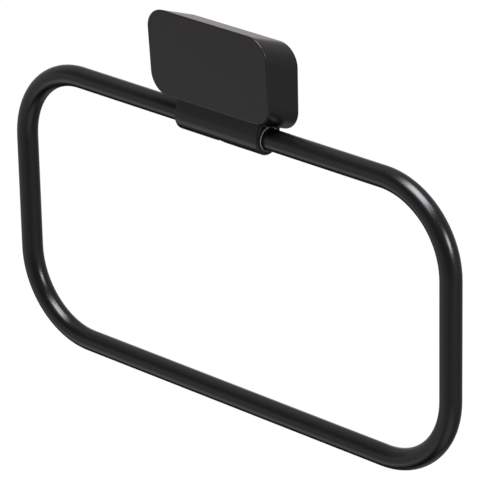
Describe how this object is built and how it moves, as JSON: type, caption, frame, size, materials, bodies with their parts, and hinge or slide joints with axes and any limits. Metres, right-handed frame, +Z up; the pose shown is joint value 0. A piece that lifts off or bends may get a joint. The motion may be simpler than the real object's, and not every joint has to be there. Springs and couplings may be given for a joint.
{
  "type": "towel ring",
  "caption": "Wall-fixed towel ring: a rectangular loop of round bar with large bends swings in a knuckle under a rounded, oblique block.",
  "frame": {"origin": "on the wall, in the middle of the block's outline there, which is also the middle of the wall plate's back and of its two screw slots", "axes": "+X to the right seen from the front, +Y into the wall, +Z up; the front faces -Y and the ring hangs down along -Z"},
  "size_m": [0.218, 0.0164, 0.1511],
  "materials": {
    "block_black": "satin",
    "ring_black": "satin",
    "bush_plastic": "satin",
    "plate_zinc": "satin",
    "screw_steel": "satin"
  },
  "bodies": {
    "holder": {"wall_block": "block_black", "wall_plate": "plate_zinc", "grub_screw": "screw_steel", "bush_left": "bush_plastic", "bush_right": "bush_plastic"},
    "ring": {"ring": "ring_black"}
  },
  "joints": [
    {"name": "ring_swing", "type": "hinge", "parent": "holder", "child": "ring", "pos_m": [0, -0.0062, -0.0187], "axis": [-1, 0, 0], "range_deg": [-1, 180]}
  ]
}
